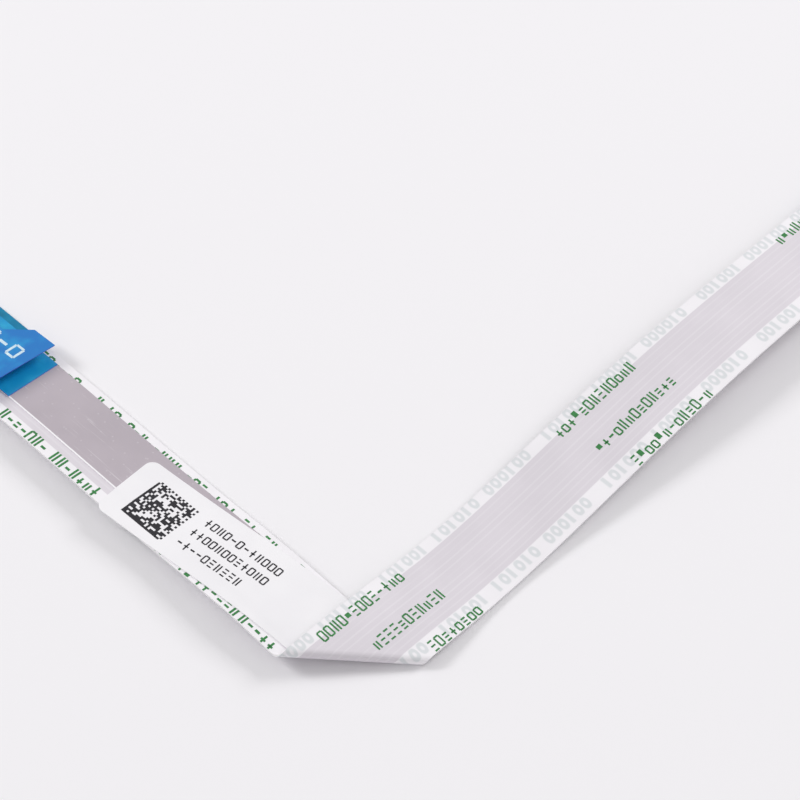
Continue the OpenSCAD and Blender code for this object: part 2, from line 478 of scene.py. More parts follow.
def new_group(name: str, inputs: dict[str, float], outputs: dict[str, str]) -> bpy.types.NodeTree:
    """Make an empty shader group with named sockets.

    Args:
        name: The group's name.
        inputs: Float inputs with their defaults.
        outputs: Outputs with their socket types.

    Returns:
        The group's tree, with its input and output nodes named "in" and "out".
    """
    tree = bpy.data.node_groups.new(name, "ShaderNodeTree")
    for key, value in inputs.items():
        socket = tree.interface.new_socket(name=key, in_out="INPUT", socket_type="NodeSocketFloat")
        socket.default_value = value
    for key, kind in outputs.items():
        tree.interface.new_socket(name=key, in_out="OUTPUT", socket_type=kind)
    tree.nodes.new("NodeGroupInput").name = "in"
    tree.nodes.new("NodeGroupOutput").name = "out"
    return tree


def flat_place_group() -> bpy.types.NodeTree:
    """Build the group that reads flat x and y, in millimetres, from the UV map."""
    tree = new_group("flat place", {}, {"X": "NodeSocketFloat", "Y": "NodeSocketFloat",
                                        "Place": "NodeSocketVector"})
    make = Nodes(tree)
    uv = make.add("ShaderNodeUVMap", {}, uv_map="flat")
    split = make.add("ShaderNodeSeparateXYZ", {0: uv.outputs[0]})
    x, y = (make.math("MULTIPLY", make.math("SUBTRACT", split.outputs[axis], 0.5), UV_SPAN)
            for axis in range(2))
    join = make.add("ShaderNodeCombineXYZ", {0: x, 1: y})
    make.feed(tree.nodes["out"], {"X": x, "Y": y, "Place": join.outputs[0]})
    return tree


@dataclass(frozen=True)
class Handling:
    """Scratches and smudges: noise per millimetre, and the noise between which each shows."""

    scratch_scale: float = 1.6
    scratch_detail: float = 6.0
    scratch_range: tuple[float, float] = (0.6, 0.72)
    along: float = 0.12             # the scratches' scale along the cable
    across: float = 3.2             # and across it
    patch_scale: float = 0.35       # of the patches in which scratches lie
    patch_range: tuple[float, float] = (0.45, 0.65)
    smudge_scale: float = 0.22
    smudge_detail: float = 3.0
    smudge_range: tuple[float, float] = (0.3, 0.7)


def grain_group(marks: Handling) -> bpy.types.NodeTree:
    """Build the group of fine scratches and soft smudges that every handled face has."""
    tree = new_group("handling marks", {"Amount": 0.5},
                     {"Scratches": "NodeSocketFloat", "Smudges": "NodeSocketFloat"})
    tree.interface.new_socket(name="Place", in_out="INPUT", socket_type="NodeSocketVector")
    make = Nodes(tree)
    given = tree.nodes["in"].outputs
    scale = make.add("ShaderNodeCombineXYZ", {0: marks.along, 1: marks.across, 2: 1.0})
    stretched = make.add("ShaderNodeVectorMath", {0: given["Place"], 1: scale.outputs[0]},
                         operation="MULTIPLY")
    lines = make.noise(stretched.outputs[0], marks.scratch_scale, marks.scratch_detail)
    patches = make.noise(given["Place"], marks.patch_scale)
    scratch = make.math("MULTIPLY", make.smooth(lines, *marks.scratch_range),
                        make.smooth(patches, *marks.patch_range))
    cloud = make.noise(given["Place"], marks.smudge_scale, marks.smudge_detail)
    make.feed(tree.nodes["out"], {"Scratches": make.math("MULTIPLY", scratch, given["Amount"]),
                                  "Smudges": make.smooth(cloud, *marks.smudge_range)})
    return tree


@dataclass(frozen=True)
class StripsBelow:
    """How the conductors show through the film."""

    soft: float = 0.04              # blur of their edges, in millimetres
    faintest: float = 0.25          # share at which the faintest gap shows
    overhang: float = 0.38          # of a pitch, from the last middle to the band's edge
    fade: float = 0.16              # of a pitch, over which the band ends


def conductor_group(sizes: CableSizes, look: StripsBelow) -> bpy.types.NodeTree:
    """Build the group that marks the conductors under the film, with soft edges."""
    tree = new_group("conductors below", {"Y": 0.0},
                     {"Band": "NodeSocketFloat", "Strips": "NodeSocketFloat"})
    make = Nodes(tree)
    middle = (sizes.conductor_count - 1) / 2
    first = sizes.conductor_shift - middle * sizes.pitch
    from_first = make.math("SUBTRACT", tree.nodes["in"].outputs["Y"], first)
    steps = make.math("DIVIDE", from_first, sizes.pitch)
    off = make.math("ABSOLUTE", make.math("SUBTRACT", steps, make.math("ROUND", steps)))
    half = sizes.conductor_w / 2
    gap = make.smooth(make.math("MULTIPLY", off, sizes.pitch), half - look.soft, half + look.soft)
    chance = make.add("ShaderNodeTexWhiteNoise", {"W": make.math("FLOOR", steps)}, noise_dimensions="1D")
    uneven = make.scaled(chance.outputs["Value"], 1 - look.faintest, look.faintest)
    strip = make.math("SUBTRACT", 1.0, make.math("MULTIPLY", gap, uneven))
    from_middle = make.math("ABSOLUTE", make.math("SUBTRACT", steps, middle))
    reach = middle + look.overhang
    band_mask = make.falling(from_middle, reach, reach + look.fade)
    make.feed(tree.nodes["out"], {"Band": band_mask, "Strips": make.math("MULTIPLY", strip, band_mask)})
    return tree


@dataclass(frozen=True)
class FarMarks:
    """The far face's marks: sizes in millimetres, the rest in shares of a pitch or a height."""

    pitch: float = 0.8
    height: float = 1.1
    ring_half: tuple[float, float] = (0.34, 0.42)
    ring_middle: float = 0.85
    ring_fade: tuple[float, float] = (0.2, 0.62)
    upright_off: float = 0.12
    upright_fade: tuple[float, float] = (0.1, 0.3)
    end_fade: tuple[float, float] = (0.4, 0.56)
    ring_share: float = 0.55        # of the marks that are rings, the rest being uprights
    gap_step: float = 0.137         # spacing of the cells that stay empty
    filled: float = 0.82            # share of the cells that hold a mark


def ghost_group(shapes: FarMarks) -> bpy.types.NodeTree:
    """Build the group for the far face's marks, seen blurred through the laminate."""
    tree = new_group("marks seen through", {"X": 0.0, "Y": 0.0, "Row": 0.0}, {"Marks": "NodeSocketFloat"})
    make = Nodes(tree)
    given = tree.nodes["in"].outputs
    steps = make.math("DIVIDE", given["X"], shapes.pitch)
    cell = make.math("FLOOR", steps)
    across = make.math("SUBTRACT", make.math("SUBTRACT", steps, cell), 0.5)
    up = make.math("DIVIDE", make.math("SUBTRACT", given["Y"], given["Row"]), shapes.height)
    squares = [make.math("POWER", make.math("DIVIDE", value, half), 2.0)
               for value, half in zip((across, up), shapes.ring_half)]
    radius = make.math("POWER", make.math("ADD", *squares), 0.5)
    off_ring = make.math("ABSOLUTE", make.math("SUBTRACT", radius, shapes.ring_middle))
    ring = make.falling(off_ring, *shapes.ring_fade)
    off_upright = make.math("ABSOLUTE", make.math("ADD", across, shapes.upright_off))
    upright = make.falling(off_upright, *shapes.upright_fade)
    inside = make.falling(make.math("ABSOLUTE", up), *shapes.end_fade)
    chance = make.add("ShaderNodeTexWhiteNoise", {"W": cell}, noise_dimensions="1D")
    which = make.math("GREATER_THAN", chance.outputs["Value"], shapes.ring_share)
    shape = make.add("ShaderNodeMix", {"Factor": which, 2: ring, 3: upright}, data_type="FLOAT")
    turn = make.math("FRACT", make.math("MULTIPLY", cell, shapes.gap_step))
    kept = make.math("LESS_THAN", turn, shapes.filled)
    marks = make.math("MULTIPLY", make.math("MULTIPLY", shape.outputs[0], inside), kept)
    make.feed(tree.nodes["out"], {"Marks": marks})
    return tree


# --- Finishes -------------------------------------------------------------------------------
# Each "depth" is how deep the surface's relief is, in metres.

@dataclass(frozen=True)
class FilmFinish:
    """Milky film over the conductors, on one face of the cable."""

    name: str
    ghost_rows: tuple[float, ...]
    margin: Colour = srgb(248, 245, 249)
    over_strips: Colour = srgb(225, 219, 226)
    over_gaps: Colour = srgb(231, 226, 232)
    far_marks: Colour = srgb(222, 225, 228)
    ghost_share: float = 0.9
    dimmest: float = 0.985          # colour value where there is no smudge
    smudge_light: float = 0.03      # what a smudge adds to it
    roughness: float = 0.32
    smudge_rough: float = 0.12
    smudge_relief: float = 1.5      # height of a smudge, over that of a conductor
    depth: float = 4e-6


@dataclass(frozen=True)
class FoilFinish:
    """Dull shield foil with fine scratches, small pits and a painted highlight along its lower edge."""

    plain: Colour = srgb(196, 186, 194)
    worn: Colour = srgb(214, 207, 213)
    dark: Colour = srgb(178, 169, 177)
    # painted highlight: the near-white line along the foil's lower edge, where the light catches it
    edge_highlight: Colour = srgb(254, 252, 255)
    scratches: float = 0.9
    smudge_share: float = 0.35
    pit_scale: float = 0.8
    pit_radii: tuple[float, float] = (0.02, 0.09)
    pit_share: float = 0.5
    roughness: float = 0.52
    edge_gloss: float = 0.15        # how much less rough the painted highlight strip is
    metallic: float = 0.2
    edge_w: float = 0.14
    edge_full: float = 0.6          # share of the strip's width that is wholly painted highlight
    smudge_relief: float = 2.0      # height of a smudge, over that of a scratch
    depth: float = 6e-6


@dataclass(frozen=True)
class PaperFinish:
    """White label stock with a fine tooth."""

    plain: Colour = srgb(248, 246, 249)
    shade: Colour = srgb(241, 239, 243)
    smudge_share: float = 0.5
    roughness: float = 0.5
    tooth_scale: float = 9.0
    depth: float = 3e-6


@dataclass(frozen=True)
class TapeFinish:
    """Blue tape of the pull tabs."""

    flap: Colour = srgb(34, 122, 200)
    flap_pale: Colour = srgb(36, 158, 218)
    # The stuck part's colours are partly painted light: its cyan is lifted to offset the flap's shadow
    # that falls on it, and partly the tape over the foil
    stuck: Colour = srgb(20, 150, 208)
    stuck_pale: Colour = srgb(46, 178, 224)
    rim: Colour = srgb(60, 98, 205)
    flap_from: float = 0.00125      # height over the floor, in metres, at which the flap starts
    flap_fade: float = 1e-4         # metres over which its colour begins
    haze_scale: float = 420.0
    haze_range: tuple[float, float] = (0.4, 0.7)
    rim_range: tuple[float, float] = (0.25, 0.6)    # upright part of a normal, from rim to face
    roughness: float = 0.3
    coat: float = 0.15
    depth: float = 8e-6


@dataclass(frozen=True)
class CloudyFinish:
    """A finish whose two colours run into one another in small clouds."""

    name: str
    plain: Colour
    other: Colour
    scale: float                    # clouds per metre
    depth: float
    change: tuple[float, float] | None = None   # noise between which the colour changes
    roughness: float = 0.5
    cloud_rough: float = 0.0        # what the clouds add to the roughness
    metallic: float = 0.0


def ink(name: str, colour: Colour) -> CloudyFinish:
    """Return the finish of a printed ink, with thinner patches in a lighter tone."""
    lighter = tuple(min(1.0, c * 1.25 + 0.01) for c in colour[:3]) + (1.0,)
    return CloudyFinish(name, colour, lighter, 2600.0, 2e-6, (0.45, 0.75))


# The stiffener's dark teal is partly painted shade: its blue is darkened to how it looks in the tab's
# shade
STIFFENER = CloudyFinish("stiffener film", srgb(0, 122, 164), srgb(12, 136, 176), 900.0, 4e-6,
                         (0.3, 0.7), 0.38)
TINNED = CloudyFinish("tinned conductor", srgb(198, 186, 176), srgb(214, 205, 197), 1500.0, 3e-6,
                      (0.35, 0.65), 0.2, 0.2, 0.9)
ADHESIVE = CloudyFinish("adhesive", srgb(226, 224, 222), srgb(234, 232, 228), 700.0, 4e-6,
                        roughness=0.45)


def principled(name: str) -> tuple[bpy.types.Material, Nodes, bpy.types.Node]:
    """Make a material and return it with its nodes and its shader."""
    material = bpy.data.materials.new(name)
    material.use_nodes = True
    shader = material.node_tree.nodes["Principled BSDF"]
    return material, Nodes(material.node_tree), shader


def bumped(make: Nodes, height: bpy.types.NodeSocket, depth: float) -> bpy.types.NodeSocket:
    """Return the normal of a surface whose relief follows a height.

    Args:
        make: The material's nodes.
        height: The height field.
        depth: Depth in metres of a height of one.

    Returns:
        The normal.
    """
    return make.add("ShaderNodeBump", {"Strength": 0.6, "Distance": depth, "Height": height}).outputs[0]


def group_node(make: Nodes, tree: bpy.types.NodeTree, inputs: dict[str, object]) -> bpy.types.Node:
    """Add a node for a shader group and feed its inputs."""
    node = make.add("ShaderNodeGroup", {}, node_tree=tree)
    make.feed(node, inputs)
    return node


class Finishes:
    """Builds and keeps every material of the cable."""

    def __init__(self, sizes: CableSizes) -> None:
        """Build the shared groups and the materials.

        Args:
            sizes: The cable's sizes.
        """
        self.sizes = sizes
        self.flat = flat_place_group()
        self.grain = grain_group(Handling())
        self.strips = conductor_group(sizes, StripsBelow())
        self.ghost = ghost_group(FarMarks())
        self.film_front = self._film(FilmFinish("film, front", ()))
        self.film_back = self._film(FilmFinish("film, back", (-3.35, 2.8)))
        self.foil = self._foil(FoilFinish())
        self.paper = self._paper(PaperFinish())
        self.tape = self._tape(TapeFinish())
        self.stiffener = self._cloudy(STIFFENER)
        self.copper = self._cloudy(TINNED)
        self.adhesive = self._cloudy(ADHESIVE)
        self.green = self._cloudy(ink("green ink", srgb(52, 126, 66)))
        self.black = self._cloudy(ink("black ink", srgb(36, 34, 40)))
        self.white = self._cloudy(ink("pale ink", srgb(206, 228, 242)))

    def _placed(self, make: Nodes, scratches: float = 0.5
                ) -> tuple[bpy.types.bpy_prop_collection, bpy.types.bpy_prop_collection]:
        """Add the flat place and the handling marks, and return what both give."""
        place = group_node(make, self.flat, {}).outputs
        grain = group_node(make, self.grain, {"Place": place["Place"], "Amount": scratches})
        return place, grain.outputs

    def _film(self, finish: FilmFinish) -> bpy.types.Material:
        """Make the film: strips and far marks showing softly through it."""
        material, make, shader = principled(finish.name)
        place, grain = self._placed(make)
        smudges = grain["Smudges"]
        strips = group_node(make, self.strips, {"Y": place["Y"]}).outputs
        inner = make.blend(strips["Strips"], finish.over_gaps, finish.over_strips)
        colour = make.blend(strips["Band"], finish.margin, inner)
        for row in finish.ghost_rows:
            ghost = group_node(make, self.ghost, {"Row": row, "X": place["X"], "Y": place["Y"]})
            share = make.math("MULTIPLY", ghost.outputs[0], finish.ghost_share)
            colour = make.blend(share, colour, finish.far_marks)
        value = make.scaled(smudges, finish.smudge_light, finish.dimmest)
        cloudy = make.add("ShaderNodeHueSaturation", {"Color": colour, "Value": value})
        height = make.math("ADD", strips["Strips"], make.math("MULTIPLY", smudges, finish.smudge_relief))
        make.feed(shader, {
            "Base Color": cloudy.outputs[0],
            "Roughness": make.scaled(smudges, finish.smudge_rough, finish.roughness),
            "Normal": bumped(make, height, finish.depth)})
        return material

    def _foil(self, finish: FoilFinish) -> bpy.types.Material:
        """Make the foil: a dull coat, fine scratches and a painted highlight along its lower edge."""
        material, make, shader = principled("shield foil")
        place, grain = self._placed(make, finish.scratches)
        smudges, scratches = grain["Smudges"], grain["Scratches"]
        dull = make.math("MULTIPLY", smudges, finish.smudge_share)
        colour = make.blend(scratches, make.blend(dull, finish.plain, finish.dark), finish.worn)
        pits = make.add("ShaderNodeTexVoronoi", {"Scale": finish.pit_scale, "Vector": place["Place"]},
                        voronoi_dimensions="2D")
        pit = make.falling(pits.outputs["Distance"], *finish.pit_radii)
        colour = make.blend(make.math("MULTIPLY", pit, finish.pit_share), colour, finish.worn)
        low = -self.sizes.foil_low
        # bare marks the strip along the foil's lower edge that carries the painted highlight: near white,
        # less rough and not metallic
        bare = make.falling(place["Y"], low + finish.edge_w * finish.edge_full, low + finish.edge_w)
        beside_highlight = make.math("SUBTRACT", 1.0, bare)
        height = make.math("ADD", scratches, make.math("MULTIPLY", smudges, finish.smudge_relief))
        make.feed(shader, {
            "Base Color": make.blend(bare, colour, finish.edge_highlight),
            "Roughness": make.scaled(bare, -finish.edge_gloss, finish.roughness),
            "Metallic": make.math("MULTIPLY", beside_highlight, finish.metallic),
            "Normal": bumped(make, height, finish.depth)})
        return material

    def _paper(self, finish: PaperFinish) -> bpy.types.Material:
        """Make the label stock: near white with a fine tooth."""
        material, make, shader = principled("label paper")
        place, grain = self._placed(make)
        tooth = make.noise(place["Place"], finish.tooth_scale)
        shaded = make.math("MULTIPLY", grain["Smudges"], finish.smudge_share)
        make.feed(shader, {
            "Base Color": make.blend(shaded, finish.plain, finish.shade),
            "Roughness": finish.roughness,
            "Normal": bumped(make, tooth, finish.depth)})
        return material

    def _tape(self, finish: TapeFinish) -> bpy.types.Material:
        """Make the tab tape: the flap lighter than the stuck part, its rim violet."""
        material, make, shader = principled("pull tab tape")
        place = make.add("ShaderNodeTexCoord", {}).outputs["Object"]
        height = make.add("ShaderNodeSeparateXYZ", {0: place}).outputs[2]
        haze = make.noise(place, finish.haze_scale, OBJECT_DETAIL, "3D")
        cloud = make.smooth(haze, *finish.haze_range)
        # Painted light, in part: below flap_from the stuck part gets the brighter cyan that offsets the
        # flap's shadow on it
        colour = make.blend(make.smooth(height, finish.flap_from, finish.flap_from + finish.flap_fade),
                            make.blend(cloud, finish.stuck, finish.stuck_pale),
                            make.blend(cloud, finish.flap, finish.flap_pale))
        normal = make.add("ShaderNodeNewGeometry", {}).outputs["Normal"]
        upward = make.add("ShaderNodeSeparateXYZ", {0: normal}).outputs[2]
        rim = make.falling(make.math("ABSOLUTE", upward), *finish.rim_range)
        make.feed(shader, {
            "Base Color": make.blend(rim, colour, finish.rim),
            "Roughness": finish.roughness,
            "Coat Weight": finish.coat,
            "Normal": bumped(make, haze, finish.depth)})
        return material

    def _cloudy(self, finish: CloudyFinish) -> bpy.types.Material:
        """Make a material of two colours that run into one another."""
        material, make, shader = principled(finish.name)
        place = make.add("ShaderNodeTexCoord", {}).outputs["Object"]
        cloud = make.noise(place, finish.scale, OBJECT_DETAIL, "3D")
        mask = make.smooth(cloud, *finish.change) if finish.change else cloud
        make.feed(shader, {
            "Base Color": make.blend(mask, finish.plain, finish.other),
            "Roughness": make.scaled(cloud, finish.cloud_rough, finish.roughness),
            "Metallic": finish.metallic,
            "Normal": bumped(make, cloud, finish.depth)})
        return material


# --- Repeated marks -------------------------------------------------------------------------

class MarkTree:
    """A geometry tree that sets one small shape on many flat points."""

    SEED = 7
    SMALLEST = 0.94        # a mark's least size, over its full one

    def __init__(self, name: str, material: bpy.types.Material) -> None:
        """Build the tree for one material.

        Args:
            name: The tree's name.
            material: What its marks are made of.
        """
        self.tree = bpy.data.node_groups.new(name, "GeometryNodeTree")
        sockets = (("Geometry", "INPUT", "Geometry"), ("Thickness", "INPUT", "Float"),
                   ("Cuts", "INPUT", "Int"), ("Seed", "INPUT", "Int"), ("Geometry", "OUTPUT", "Geometry"))
        for key, side, kind in sockets:
            self.tree.interface.new_socket(name=key, in_out=side, socket_type="NodeSocket" + kind)
        make = Nodes(self.tree)
        given = make.add("NodeGroupInput", {}).outputs
        points = make.add("GeometryNodeMeshToPoints", {"Mesh": given["Geometry"]})
        size = make.add("GeometryNodeInputNamedAttribute", {"Name": "size"}, data_type="FLOAT_VECTOR")
        cube = make.add("GeometryNodeMeshCube", {1: given["Cuts"], 2: given["Cuts"]})
        jitter = make.add("FunctionNodeRandomValue", {2: self.SMALLEST, 3: 1.0, "Seed": given["Seed"]},
                          data_type="FLOAT")
        parts = make.add("ShaderNodeSeparateXYZ", {0: size.outputs["Attribute"]}).outputs
        length, width = (make.math("MULTIPLY", parts[axis], jitter.outputs[1]) for axis in range(2))
        scale = make.add("ShaderNodeCombineXYZ", {0: length, 1: width, 2: given["Thickness"]})
        turn = make.add("ShaderNodeCombineXYZ", {2: parts[2]})
        rotation = make.add("FunctionNodeEulerToRotation", {0: turn.outputs[0]})
        bars = make.add("GeometryNodeInstanceOnPoints", {
            "Points": points.outputs[0], "Instance": cube.outputs["Mesh"],
            "Scale": scale.outputs[0], "Rotation": rotation.outputs[0]})
        real = make.add("GeometryNodeRealizeInstances", {0: bars.outputs[0]})
        paint = make.add("GeometryNodeSetMaterial", {"Geometry": real.outputs[0], "Material": material})
        make.add("NodeGroupOutput", {0: paint.outputs[0]})

    def grow(self, name: str, marks: list[Mark], thickness: float,
             cuts: int) -> bpy.types.Mesh:
        """Return a plain mesh of the marks, still in the flat layout.

        Args:
            name: The mesh's name.
            marks: Each mark's flat x, y, length, width and turn in radians.
            thickness: How thick each mark is.
            cuts: How many vertices each side of a mark has.

        Returns:
            The mesh in millimetres, before it is carried onto the cable.
        """
        seedbed = bpy.data.meshes.new(name + " points")
        seedbed.from_pydata([(x, y, 0) for x, y, _, _, _ in marks], [], [])
        size = seedbed.attributes.new("size", "FLOAT_VECTOR", "POINT")
        for item, (_, _, length, width, turn) in zip(size.data, marks):
            item.vector = (length, width, turn)
        holder = bpy.data.objects.new(name + " points", seedbed)
        bpy.context.scene.collection.objects.link(holder)
        modifier = holder.modifiers.new("marks", "NODES")
        modifier.node_group = self.tree
        given = {"Thickness": thickness, "Cuts": cuts, "Seed": self.SEED}
        for socket in self.tree.interface.items_tree:
            if socket.in_out == "INPUT" and socket.name in given:
                modifier[socket.identifier] = given[socket.name]
        ready = holder.evaluated_get(bpy.context.evaluated_depsgraph_get())
        mesh = bpy.data.meshes.new_from_object(ready)
        bpy.data.objects.remove(holder)
        bpy.data.meshes.remove(seedbed)
        return mesh


# --- Pieces ---------------------------------------------------------------------------------

@dataclass
class Laminate:
    """The two films, smooth along their bends."""

    sheet: FoldedSheet
    finishes: Finishes

    def build(self) -> list[bpy.types.Object]:
        """Make both films in place of the solids' films.

        Returns:
            The two new objects.
        """
        sizes = self.sheet.sizes
        half = sizes.half_w
        bare = sizes.contact_len
        front = skin("front_film_skin", self.sheet.rings(
            band(-half, half, sizes.front_base, sizes.front_top), -sizes.label_arm, sizes.plain_arm))
        back = skin("back_film_skin", self.sheet.rings(
            band(-half, half, 0, sizes.film_t), bare - sizes.label_arm, sizes.plain_arm - bare))
        for piece, node, material, slot in (
                (front, "front_film", self.finishes.film_front, "film_front"),
                (back, "back_film", self.finishes.film_back, "film_back")):
            piece.data.materials.append(material)
            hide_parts(node)
            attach(piece, "root")
        return [front, back]


@dataclass
class ShieldFoil:
    """The foil strip along the front film."""

    sheet: FoldedSheet
    finishes: Finishes

    def build(self) -> bpy.types.Object:
        """Make the foil in place of the solid one.

        Returns:
            The new object.
        """
        sizes = self.sheet.sizes
        inset = sizes.stiffener_len + sizes.foil_gap
        foil = skin("shield_foil", self.sheet.rings(
            band(-sizes.foil_low, sizes.foil_high, sizes.front_top, sizes.foil_top),
            inset - sizes.label_arm, sizes.plain_arm - inset))
        foil.data.materials.append(self.finishes.foil)
        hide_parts("foil_strip")
        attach(foil, "root")
        return foil


@dataclass
class PaperLabel:
    """The rounded label and what is printed on it."""

    sheet: FoldedSheet
    finishes: Finishes
    x: float = -23.15
    y: float = -1.05
    length: float = 19.9
    width: float = 6.3
    radius: float = 0.8
    turn: float = 4.6
    thickness: float = 0.08
    ink_t: float = 0.01
    ramp: float = 0.5               # length of the slope over the foil's lower edge
    steps: int = 96                 # parts along the label between its rounded ends
    across: int = 36                # parts across it
    arc_parts: int = 12             # parts of each rounded end
    code_modules: int = 22
    code_side: float = 4.1
    code_centre: tuple[float, float] = (-19.3, -0.9)
    code_turn: float = 1.0
    code_spread: float = 1.04       # side of a module over its pitch
    code_share: float = 0.5         # of the inner modules that are dark
    rows: tuple[tuple[tuple[float, float], tuple[float, float]], ...] = (
        ((-16.3, 0.9), (-8.4, 1.6)), ((-16.4, -0.5), (-8.8, 0.2)), ((-16.4, -1.9), (-10.2, -1.35)))
    row_pitch: float = 0.62
    row_height: float = 0.66
    row_stroke: float = 0.12

    def under(self, y: float) -> float:
        """Return the height of what the label lies on, at a flat y."""
        sizes = self.sheet.sizes
        rise = (y + sizes.foil_low + self.ramp) / self.ramp
        return sizes.front_top + min(1.0, max(0.0, rise)) * sizes.foil_t

    def flat(self, u: float, v: float) -> tuple[float, float]:
        """Return the flat place of a point of the label, u along and v across it."""
        c, s = math.cos(math.radians(self.turn)), math.sin(math.radians(self.turn))
        return self.x + u * c - v * s, self.y + u * s + v * c

    def on_top(self, x: float, y: float, z: float) -> np.ndarray:
        """Return the place of a flat point at a height over the label's face."""
        return self.sheet.place(x, y, self.under(y) + self.thickness + z)

    def _half_width(self, u: float) -> float:
        """Return half the label's width at a distance from its short edge."""
        inward = self.radius - min(u, self.length - u)
        if inward <= 0:
            return self.width / 2
        return self.width / 2 - self.radius + math.sqrt(max(0.0, self.radius ** 2 - inward ** 2))

    def _stations(self) -> list[float]:
        """List distances along the label, close together at its rounded ends."""
        arc = [self.radius * (1 - math.cos(i * math.pi / 2 / self.arc_parts))
               for i in range(self.arc_parts + 1)]
        run = self.length - 2 * self.radius
        middle = [self.radius + run * i / self.steps for i in range(1, self.steps)]
        return arc + middle + [self.length - a for a in reversed(arc)]

    def build(self) -> bpy.types.Object:
        """Make the label in place of the solid one.

        Returns:
            The new object.
        """
        across = self.across
        stations = self._stations()
        points: list[np.ndarray] = []
        flat: list[tuple[float, float]] = []
        for top in (True, False):
            for u in stations:
                half = self._half_width(u)
                for j in range(across + 1):
                    x, y = self.flat(u, half * (2 * j / across - 1))
                    height = self.under(y) + (self.thickness if top else 0)
                    points.append(self.sheet.place(x, y, height))
                    flat.append((x, y))
        count, row = len(stations), across + 1
        low = count * row
        faces = []
        for i in range(count - 1):
            for j in range(across):
                a = i * row + j
                faces.append([a, a + row, a + row + 1, a + 1])
                faces.append([low + a, low + a + 1, low + a + row + 1, low + a + row])
        rim = ([i * row for i in range(count)]
               + [(count - 1) * row + j for j in range(1, row)]
               + [i * row + across for i in range(count - 2, -1, -1)]
               + list(range(across - 1, 0, -1)))
        sharp = set()
        for a, b in zip(rim, rim[1:] + rim[:1]):
            faces.append([b, a, low + a, low + b])
            sharp.add((min(a, b), max(a, b)))
            sharp.add((low + min(a, b), low + max(a, b)))
        label = write_mesh("paper_label", points, faces, flat, sharp)
        label.data.materials.append(self.finishes.paper)
        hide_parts("label")
        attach(label, "root")
        return label

    def code_marks(self) -> list[Mark]:
        """List the dark modules of the square pattern: a solid L and a random field."""
        last = self.code_modules - 1
        step = self.code_side / self.code_modules
        x0, y0 = self.code_centre
        turn = math.radians(self.code_turn)
        c, s = math.cos(turn), math.sin(turn)
        size = step * self.code_spread
        chance = np.random.default_rng(11)
        marks = []
        for i in range(last + 1):
            for j in range(last + 1):
                if last in (i, j):
                    dark = (i + j) % 2 == 0
                else:
                    dark = 0 in (i, j) or chance.random() < self.code_share
                if dark:
                    u, v = (i + 0.5 - (last + 1) / 2) * step, (j + 0.5 - (last + 1) / 2) * step
                    marks.append((x0 + u * c - v * s, y0 + u * s + v * c, size, size, turn))
        return marks

    def row_marks(self) -> list[Mark]:
        """List the bars that stand where the label has its three printed rows."""
        marks = []
        chance = np.random.default_rng(5)
        for start, end in self.rows:
            run = math.hypot(end[0] - start[0], end[1] - start[1])
            turn = math.atan2(end[1] - start[1], end[0] - start[0])
            marks += mark_row(start, turn, int(run / self.row_pitch), self.row_pitch,
                              self.row_height, self.row_stroke, chance)
        return marks


def mark_row(start: tuple[float, float], turn: float, count: int, pitch: float, height: float,
             stroke: float, chance: np.random.Generator, short: float = 0.0,
             foot: int = 1) -> list[Mark]:
    """List the bars of a row of plain shapes: frames, paired bars, blocks and dashes.

    Args:
        start: Flat x and y of the row's middle at its first shape.
        turn: The row's turn in radians.
        count: How many shapes the row has.
        pitch: Distance between shapes.
        height: Their height.
        stroke: The width of their bars.
        chance: Where their order comes from.
        short: The share of shapes that are lower than the rest.
        foot: The side, +1 or -1 in y, on which low shapes stand.

    Returns:
        Flat x, y, length, width and turn of every bar.
    """
    wide = pitch * 0.62
    shapes = (
        ((0, height / 2, wide, stroke), (0, -height / 2, wide, stroke),
         (-wide / 2, 0, stroke, height), (wide / 2, 0, stroke, height)),
        ((-wide / 3, 0, stroke, height + stroke), (wide / 3, 0, stroke, height + stroke)),
        ((0, height / 2, wide, stroke), (0, 0, wide, stroke), (0, -height / 2, wide, stroke)),
        ((0, -height / 4, wide, height / 2 + stroke),),
        ((0, 0, stroke, height + stroke), (0, 0, wide, stroke)),
        ((0, 0, wide, stroke * 1.2),),
    )
    weights = (0.34, 0.2, 0.16, 0.06, 0.16, 0.08)
    marks = []
    c, s = math.cos(turn), math.sin(turn)
    for k in range(count):
        small = chance.random() < short
        for u, v, length, width in shapes[chance.choice(len(shapes), p=weights)]:
            u += (k + 0.5) * pitch
            if small:
                v = v * SMALL + foot * height * (1 - SMALL) / 2
                width = width if width <= stroke * 1.2 else width * SMALL
            marks.append((start[0] + u * c - v * s, start[1] + u * s + v * c, length, width, turn))
    return marks


@dataclass
class PrintedMarks:
    """Carries rows of small flat bars onto the cable."""

    low: np.ndarray
    high: np.ndarray

    def lay(self, name: str, tree: MarkTree, marks: list[Mark],
            carry: Carry, thickness: float, cuts: int = 2,
            inverted: bool = False) -> bpy.types.Object:
        """Grow the marks flat, then carry them onto a face.

        Args:
            name: The piece's name.
            tree: The tree that grows them.
            marks: Flat x, y, length, width and turn of every bar.
            carry: A function of flat x and y and of the height over the face that gives the place.
            thickness: The ink's thickness.
            cuts: How many vertices each side of a mark has.
            inverted: Whether the carrying turns the marks inside out.

        Returns:
            The new object.
        """
        kept = [mark for mark in marks if self._fits(carry(mark[0], mark[1], thickness * 1.5))]
        mesh = tree.grow(name, kept, thickness, cuts)
        for vertex in mesh.vertices:
            x, y, z = vertex.co
            vertex.co = carry(x, y, z + thickness / 2) * MM
        if inverted:
            mesh.flip_normals()
        mesh.update()
        piece = bpy.data.objects.new(name, mesh)
        bpy.context.scene.collection.objects.link(piece)
        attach(piece, "root")
        return piece

    def _fits(self, place: np.ndarray) -> bool:
        """Tell whether a place, in millimetres, is inside the solids' box."""
        return bool((place * MM > self.low).all() and (place * MM < self.high).all())


